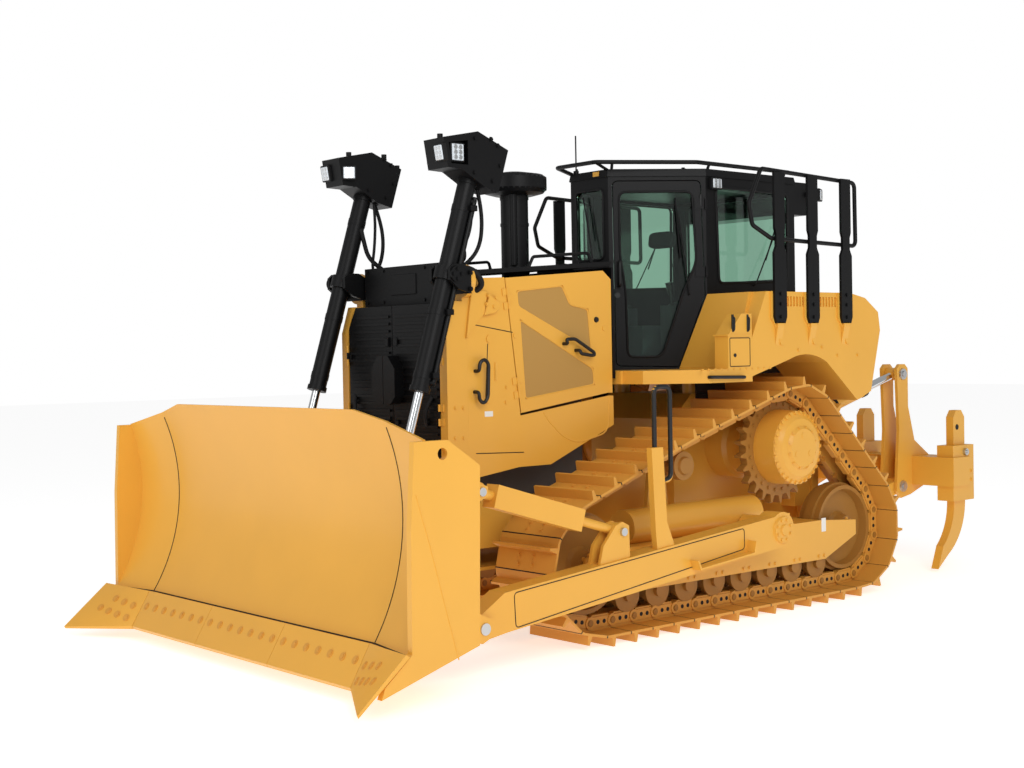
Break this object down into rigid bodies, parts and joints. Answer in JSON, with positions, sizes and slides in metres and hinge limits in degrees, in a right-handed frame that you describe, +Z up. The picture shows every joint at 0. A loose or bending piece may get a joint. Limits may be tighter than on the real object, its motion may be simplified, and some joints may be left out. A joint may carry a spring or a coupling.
{
  "type": "crawler bulldozer with a rear ripper",
  "caption": "Crawler bulldozer with a raised drive sprocket, a wide curved blade on push arms, an enclosed cab and a rear ripper.",
  "frame": {"origin": "on the ground, midway between the foremost and rearmost points, on the machine's middle plane", "axes": "+X towards the blade, +Y to the operator's left, +Z up"},
  "size_m": [7.433, 3.854, 3.82],
  "materials": {
    "yellow_paint": "semi-gloss, worn",
    "black_paint": "satin",
    "track_steel": "dull, dusty",
    "chrome_rod": "polished",
    "clear_glass": "slightly green",
    "dark_grille": "satin",
    "seat_cloth": "woven",
    "grey_plastic": "matt",
    "dull_engine": "oily",
    "pin_steel": "bare"
  },
  "bodies": {
    "chassis": {"cab_glass": "clear_glass", "cab_roof": "black_paint", "cab_shell": "black_paint", "control_consoles": "grey_plastic", "cross_shafts": "track_steel", "engine_block": "dull_engine", "exhaust_stack": "black_paint", "fenders": "yellow_paint", "final_drives": "yellow_paint", "guard_posts": "black_paint", "hood_sides": "yellow_paint", "hood_top": "black_paint", "idlers": "track_steel", "lift_yokes": "black_paint", "lower_grille": "dark_grille", "main_frame": "yellow_paint", "operator_seat": "seat_cloth", "precleaner": "black_paint", "radiator_core": "dark_grille", "radiator_guard": "yellow_paint", "rear_cab_unit": "black_paint", "rear_case": "yellow_paint", "ripper_bracket": "yellow_paint", "roller_frames": "yellow_paint", "sprockets": "track_steel", "tool_boxes": "yellow_paint", "tow_hook": "yellow_paint", "track_left": "track_steel", "track_right": "track_steel", "track_rollers": "track_steel"},
    "blade": {"moldboard": "yellow_paint", "blade_side_plates": "yellow_paint", "blade_frame": "yellow_paint", "cutting_edges": "track_steel", "push_arms": "yellow_paint", "arm_pins": "pin_steel", "blade_braces": "yellow_paint", "grab_posts": "black_paint"},
    "lift_barrel_left": {"lift_barrel_left": "black_paint", "lamp_box_left": "black_paint"},
    "lift_barrel_right": {"lift_barrel_right": "black_paint", "lamp_box_right": "black_paint"},
    "lift_rod_left": {"lift_rod_left": "chrome_rod"},
    "lift_rod_right": {"lift_rod_right": "chrome_rod"},
    "ripper_link": {"ripper_link": "yellow_paint"},
    "ripper_carriage": {"ripper_carriage": "yellow_paint", "ripper_shanks": "track_steel"},
    "ripper_tilt_cylinders": {"ripper_tilt_cylinders": "yellow_paint"},
    "ripper_lift_barrels": {"ripper_lift_barrels": "black_paint"},
    "ripper_lift_rods": {"ripper_lift_rods": "chrome_rod"},
    "engine_door_left": {"engine_door_left": "yellow_paint"},
    "engine_door_right": {"engine_door_right": "yellow_paint"},
    "grille_door_left": {"grille_door_left": "yellow_paint"},
    "grille_door_right": {"grille_door_right": "yellow_paint"},
    "cab_door_left": {"cab_door_left": "black_paint", "door_glass_left": "clear_glass"},
    "cab_door_right": {"cab_door_right": "black_paint", "door_glass_right": "clear_glass"}
  },
  "joints": [
    {"name": "blade_lift", "type": "hinge", "parent": "chassis", "child": "blade", "pos_m": [-0.4635, 0, 0.68], "axis": [0, 1, 0], "range_deg": [-16.5, 8]},
    {"name": "lift_barrel_swing_left", "type": "hinge", "parent": "chassis", "child": "lift_barrel_left", "pos_m": [2.0465, 0.636, 2.6], "axis": [0, 1, 0], "range_deg": [-8, 4]},
    {"name": "lift_rod_slide_left", "type": "slide", "parent": "lift_barrel_left", "child": "lift_rod_left", "axis": [-0.2956, 0, 0.9553], "range_m": [-0.43, 0.87]},
    {"name": "lift_barrel_swing_right", "type": "hinge", "parent": "chassis", "child": "lift_barrel_right", "pos_m": [2.0465, -0.636, 2.6], "axis": [0, 1, 0], "range_deg": [-8, 4]},
    {"name": "lift_rod_slide_right", "type": "slide", "parent": "lift_barrel_right", "child": "lift_rod_right", "axis": [-0.2956, 0, 0.9553], "range_m": [-0.43, 0.87]},
    {"name": "ripper_lift", "type": "hinge", "parent": "chassis", "child": "ripper_link", "pos_m": [-2.1335, 0, 0.54], "axis": [0, 1, 0], "range_deg": [-24, 27]},
    {"name": "ripper_carriage_hinge", "type": "hinge", "parent": "ripper_link", "child": "ripper_carriage", "pos_m": [-3.2125, 0, 0.763], "axis": [0, 1, 0], "range_deg": [-26, 23]},
    {"name": "ripper_tilt_cylinder_swing", "type": "hinge", "parent": "chassis", "child": "ripper_tilt_cylinders", "pos_m": [-2.1335, 0, 1.5], "axis": [0, 1, 0], "range_deg": [-25, 28]},
    {"name": "ripper_lift_barrel_swing", "type": "hinge", "parent": "chassis", "child": "ripper_lift_barrels", "pos_m": [-1.9035, 0, 1.38], "axis": [0, 1, 0], "range_deg": [-22, 25]},
    {"name": "ripper_lift_rod_slide", "type": "slide", "parent": "ripper_lift_barrels", "child": "ripper_lift_rods", "axis": [0.9417, 0, 0.3365], "range_m": [-0.27, 0.3]},
    {"name": "engine_door_left_hinge", "type": "hinge", "parent": "chassis", "child": "engine_door_left", "pos_m": [1.3965, 0.648, 1.615], "axis": [-0.1273, 0, -0.9919], "range_deg": [0, 90]},
    {"name": "grille_door_left_hinge", "type": "hinge", "parent": "chassis", "child": "grille_door_left", "pos_m": [2.0645, 0.555, 1.9], "axis": [0, 0, 1], "range_deg": [0, 90]},
    {"name": "cab_door_left_hinge", "type": "hinge", "parent": "chassis", "child": "cab_door_left", "pos_m": [-0.54323, 0.68738, 2.7], "axis": [0, 0, 1], "range_deg": [0, 70]},
    {"name": "engine_door_right_hinge", "type": "hinge", "parent": "chassis", "child": "engine_door_right", "pos_m": [1.3965, -0.648, 1.615], "axis": [0.1273, 0, 0.9919], "range_deg": [0, 90]},
    {"name": "grille_door_right_hinge", "type": "hinge", "parent": "chassis", "child": "grille_door_right", "pos_m": [2.0645, -0.555, 1.9], "axis": [0, 0, -1], "range_deg": [0, 90]},
    {"name": "cab_door_right_hinge", "type": "hinge", "parent": "chassis", "child": "cab_door_right", "pos_m": [-0.54323, -0.68738, 2.7], "axis": [0, 0, -1], "range_deg": [0, 70]}
  ],
  "couplings": [
    {"joint": "lift_barrel_swing_left", "follows": "blade_lift", "ratio": 0.403},
    {"joint": "lift_rod_slide_left", "follows": "blade_lift", "m_per_rad": -2.998},
    {"joint": "lift_barrel_swing_right", "follows": "blade_lift", "ratio": 0.403},
    {"joint": "lift_rod_slide_right", "follows": "blade_lift", "m_per_rad": -2.998},
    {"joint": "ripper_carriage_hinge", "follows": "ripper_lift", "ratio": -0.926},
    {"joint": "ripper_tilt_cylinder_swing", "follows": "ripper_lift", "ratio": 0.995},
    {"joint": "ripper_lift_barrel_swing", "follows": "ripper_lift", "ratio": 0.86},
    {"joint": "ripper_lift_rod_slide", "follows": "ripper_lift", "m_per_rad": 0.58}
  ]
}
